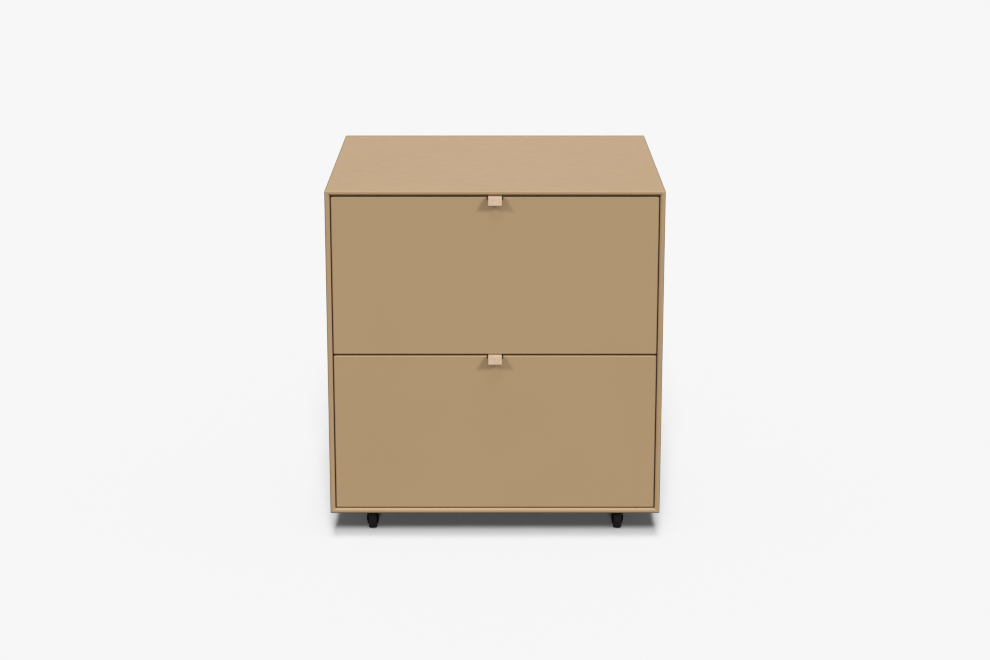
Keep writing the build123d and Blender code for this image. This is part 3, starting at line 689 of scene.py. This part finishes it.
pullLook = {
    "layer": 0.0022,        # one layer of hide
    "layerGap": 0.0003,
    "drop": 0.0184,         # top of the strap to the fold
    "turnOut": 0.0036,      # drawer face to where the strap turns down
    "bend": 0.0034,
    "edgeRound": 0.00045,
    "rawShare": 1.2,        # how far in from the side the cut edge shows, in edge roundings
    "waver": 0.00022,       # hand-cut edges
    "lift": 0.35,           # share of the waver that the faces have
    "waverSize": 60, "edgeWaves": 2, "faceWaves": 5,
    "routeStep": 0.0006,
    "bendSteps": 16, "foldSteps": 14, "cornerSteps": 4, "stripsAcross": 9,
}


def roundedRoute(points, radius, arcSteps):  # polyline in (y, z) with its corners rounded
    route = [Vector(points[0])]
    for before, corner, after in zip(points, points[1:], points[2:]):
        before, corner, after = Vector(before), Vector(corner), Vector(after)
        inward, outward = (corner - before).normalized(), (after - corner).normalized()
        turn = inward.angle_signed(outward)
        reach = radius * math.tan(abs(turn) / 2)
        side = -1 if turn > 0 else 1
        start = corner - inward * reach
        centre = start + Vector((-inward.y, inward.x)) * radius * side
        for step in range(arcSteps + 1):
            spin = Matrix.Rotation(-turn * step / arcSteps, 2)
            route.append(centre + spin @ (start - centre))
    route.append(Vector(points[-1]))
    return route


def evenly(route, spacing):
    lengths = [0]
    for a, b in zip(route, route[1:]):
        lengths.append(lengths[-1] + (b - a).length)
    count = max(2, round(lengths[-1] / spacing))
    made, k = [], 0
    for i in range(count + 1):
        want = lengths[-1] * i / count
        while k < len(route) - 2 and lengths[k + 1] < want:
            k += 1
        span = lengths[k + 1] - lengths[k]
        share = 0 if span == 0 else (want - lengths[k]) / span
        made.append(route[k].lerp(route[k + 1], share))
    return made


def shifted(route, amount):  # parallel route, to the left of its direction
    made = []
    for i, point in enumerate(route):
        ahead = route[min(i + 1, len(route) - 1)] - route[max(i - 1, 0)]
        side = Vector((-ahead.y, ahead.x)).normalized()
        made.append(point + side * amount)
    return made


def makePull(level, seed):
    look = pullLook
    node, body = f"{level}_drawer_pull", f"{level}_drawer"
    low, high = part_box(node)
    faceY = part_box(f"{level}_drawer_front")[0].y
    layer, half = look["layer"], (high.x - low.x) / 2
    between = (layer + look["layerGap"]) / 2
    thick = 2 * layer + look["layerGap"]
    tailY = high.y - thick / 2
    runZ = high.z - thick / 2
    foldY, foldZ = low.y + thick / 2, high.z - look["drop"] + thick / 2
    points = [(tailY, low.z), (tailY, runZ), (faceY - look["turnOut"], runZ), (foldY, foldZ)]
    middle = evenly(roundedRoute(points, look["bend"], look["bendSteps"]), look["routeStep"])
    outer, inner = shifted(middle, -between), shifted(middle, between)
    along = (middle[-1] - middle[-2]).normalized()
    if (outer[-1] - inner[-1]).x > 0:  # outer is the one further out from the drawer
        outer, inner = inner, outer
    start = outer[-1] - middle[-1]
    turn = -1 if start.x * along.y - start.y * along.x > 0 else 1
    foldSteps = look["foldSteps"]
    turns = [turn * math.pi * i / foldSteps for i in range(1, foldSteps)]
    fold = [middle[-1] + Matrix.Rotation(angle, 2) @ start for angle in turns]
    route = outer + fold + inner[::-1]
    rng = random.Random(seed)
    drift = Vector((rng.uniform(0, 50), rng.uniform(0, 50), rng.uniform(0, 50)))
    section, across = [], look["stripsAcross"]
    corner, cornerSteps = look["edgeRound"], look["cornerSteps"]
    for sideX, sideN in ((1, 1), (-1, 1), (-1, -1), (1, -1)):
        for step in range(cornerSteps + 1):
            angle = math.pi / 2 * step / cornerSteps
            dx, dn = math.cos(angle), math.sin(angle)
            if sideX * sideN < 0:
                dx, dn = dn, dx
            x = sideX * (half - corner + corner * dx)
            section.append((x, sideN * (layer / 2 - corner + corner * dn)))
        if sideX == sideN:  # long faces get points across, so that they can waver
            for k in range(1, across):
                x = sideX * (half - corner) * (1 - 2 * k / across)
                section.append((x, sideN * layer / 2))
    mesh = bpy.data.meshes.new(f"{level}_pull")
    work = bmesh.new()
    rings, waves = [], look["waverSize"]
    for i, point in enumerate(route):
        ahead = (route[min(i + 1, len(route) - 1)] - route[max(i - 1, 0)]).normalized()
        normal = Vector((-ahead.y, ahead.x))
        ring = []
        for x, n in section:
            spot = Vector((x * waves, point.x * waves, point.y * waves)) + drift
            edge = look["waver"] * noise.noise(spot * look["edgeWaves"]) * abs(x) / half
            lift = look["waver"] * look["lift"] * noise.noise(spot * look["faceWaves"])
            place = point + normal * (n + lift)
            ring.append(work.verts.new((x + math.copysign(edge, x), place.x, place.y)))
        rings.append(ring)
    count = len(section)
    for first, second in zip(rings, rings[1:]):
        for k in range(count):
            face = work.faces.new((first[k], first[(k + 1) % count], second[(k + 1) % count], second[k]))
            outside = min(abs(first[k].co.x), abs(first[(k + 1) % count].co.x))
            face.material_index = 1 if outside > half - corner * look["rawShare"] else 0
    for cap in (rings[0], rings[-1][::-1]):
        work.faces.new(cap).material_index = 1
    bmesh.ops.recalc_face_normals(work, faces=work.faces)
    work.to_mesh(mesh)
    work.free()
    mesh.materials.append(finishes["leather"])
    mesh.materials.append(rawHideEdge)
    mesh.shade_smooth()
    return newPiece(f"{level}_leather_pull", mesh, body, [node])


for level, seed in (("upper", 4), ("lower", 9)):
    makePull(level, seed)
print("pulls made")


# Stage, light and camera

stageLook = {
    "backdrop": srgb(247, 247, 247),
    "dome": 0.5,            # light from all round
    "floor": 0.032,         # how much the floor throws back up
    "reach": 60,            # half the floor's width
    "lamps": (              # for everything but the floor: name, the way it shines, strength, spread
        ("keyLeft", (0.75, 0.43, -0.46), 1.8, 12),
        ("keyRight", (-0.75, 0.43, -0.46), 2.34, 12),
        ("overhead", (0, 0.2, -1), 0.72, 30),
        ("frontFill", (0, 1, 0), 0.1, 3),
        ("backFill", (0, -1, 0.08), 0.7, 12),
    ),
    "strips": (             # for the floor alone: elevation, strength, spread
        (14, 7, 6), (41, 16, 14), (51, 2.3, 12), (59, 2.2, 12),
        (67, 2.1, 12), (75, 2, 12), (83, 2, 12),
    ),
}


def addSun(name, towards, strength, spread, lights):
    data = bpy.data.lights.new(name, "SUN")
    data.energy = strength
    data.angle = math.radians(spread)
    lamp = bpy.data.objects.new(name, data)
    lamp.rotation_euler = Vector(towards).to_track_quat("-Z", "Y").to_euler()
    bpy.context.scene.collection.objects.link(lamp)
    lamp.light_linking.receiver_collection = lights


def linkGroup(name, floor, state):  # which things a lamp lights: the floor alone, or all but the floor
    group = bpy.data.collections.new(name)
    group.objects.link(floor)
    group.collection_objects[0].light_linking.link_state = state
    return group


def makeWorld(look):
    world = bpy.data.worlds.new("studio")
    world.use_nodes = True
    tree = world.node_tree
    dome = tree.nodes["Background"]
    dome.inputs["Color"].default_value = (1, 1, 1, 1)
    dome.inputs["Strength"].default_value = look["dome"]
    backdrop = addNode(tree, "ShaderNodeBackground", {"Color": look["backdrop"], "Strength": 1})
    mix = addNode(tree, "ShaderNodeMixShader")
    join(tree, addNode(tree, "ShaderNodeLightPath").outputs["Is Camera Ray"], mix.inputs[0])
    join(tree, dome.outputs[0], mix.inputs[1])
    join(tree, backdrop.outputs[0], mix.inputs[2])
    join(tree, mix.outputs[0], tree.nodes["World Output"].inputs["Surface"])
    bpy.context.scene.world = world


def makeStage():
    look = stageLook
    makeWorld(look)
    material, unused, shader = newMaterial("paleFloor", (look["floor"],) * 3 + (1,), 0, 1)
    shader.inputs["Specular IOR Level"].default_value = 0
    mesh = bpy.data.meshes.new("floor")
    reach = look["reach"]
    corners = [(-reach, -reach, 0), (reach, -reach, 0), (reach, reach, 0), (-reach, reach, 0)]
    mesh.from_pydata(corners, [], [(0, 1, 2, 3)])
    mesh.materials.append(material)
    floor = bpy.data.objects.new("floor", mesh)
    floor.is_shadow_catcher = True
    floor.visible_shadow = False
    bpy.context.scene.collection.objects.link(floor)
    onObject = linkGroup("litObject", floor, "EXCLUDE")
    onFloor = linkGroup("litFloor", floor, "INCLUDE")
    for name, towards, strength, spread in look["lamps"]:
        addSun(name, towards, strength, spread, onObject)
    for elevation, strength, spread in look["strips"]:
        tilt = math.radians(elevation)
        addSun("strip", (0, math.cos(tilt), -math.sin(tilt)), strength, spread, onFloor)


cameraLook = {
    "distance": 3.6,        # from the body's front
    "height": 1.344,        # over the body's bottom
    "pitch": 13.84,
    "lens": 76, "sensor": 36,
    "shift": -2 / 33,       # in picture widths
}


def makeCamera():
    look = cameraLook
    data = bpy.data.cameras.new("camera")
    data.sensor_width = look["sensor"]
    data.lens = look["lens"]
    data.shift_y = look["shift"]
    camera = bpy.data.objects.new("camera", data)
    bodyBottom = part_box("bottom_panel")[0].z
    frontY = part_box("top_panel")[0].y
    camera.location = (0, frontY - look["distance"], bodyBottom + look["height"])
    camera.rotation_euler = (math.radians(90 - look["pitch"]), 0, 0)
    bpy.context.scene.collection.objects.link(camera)
    bpy.context.scene.camera = camera


makeStage()
makeCamera()
print("stage and camera made")
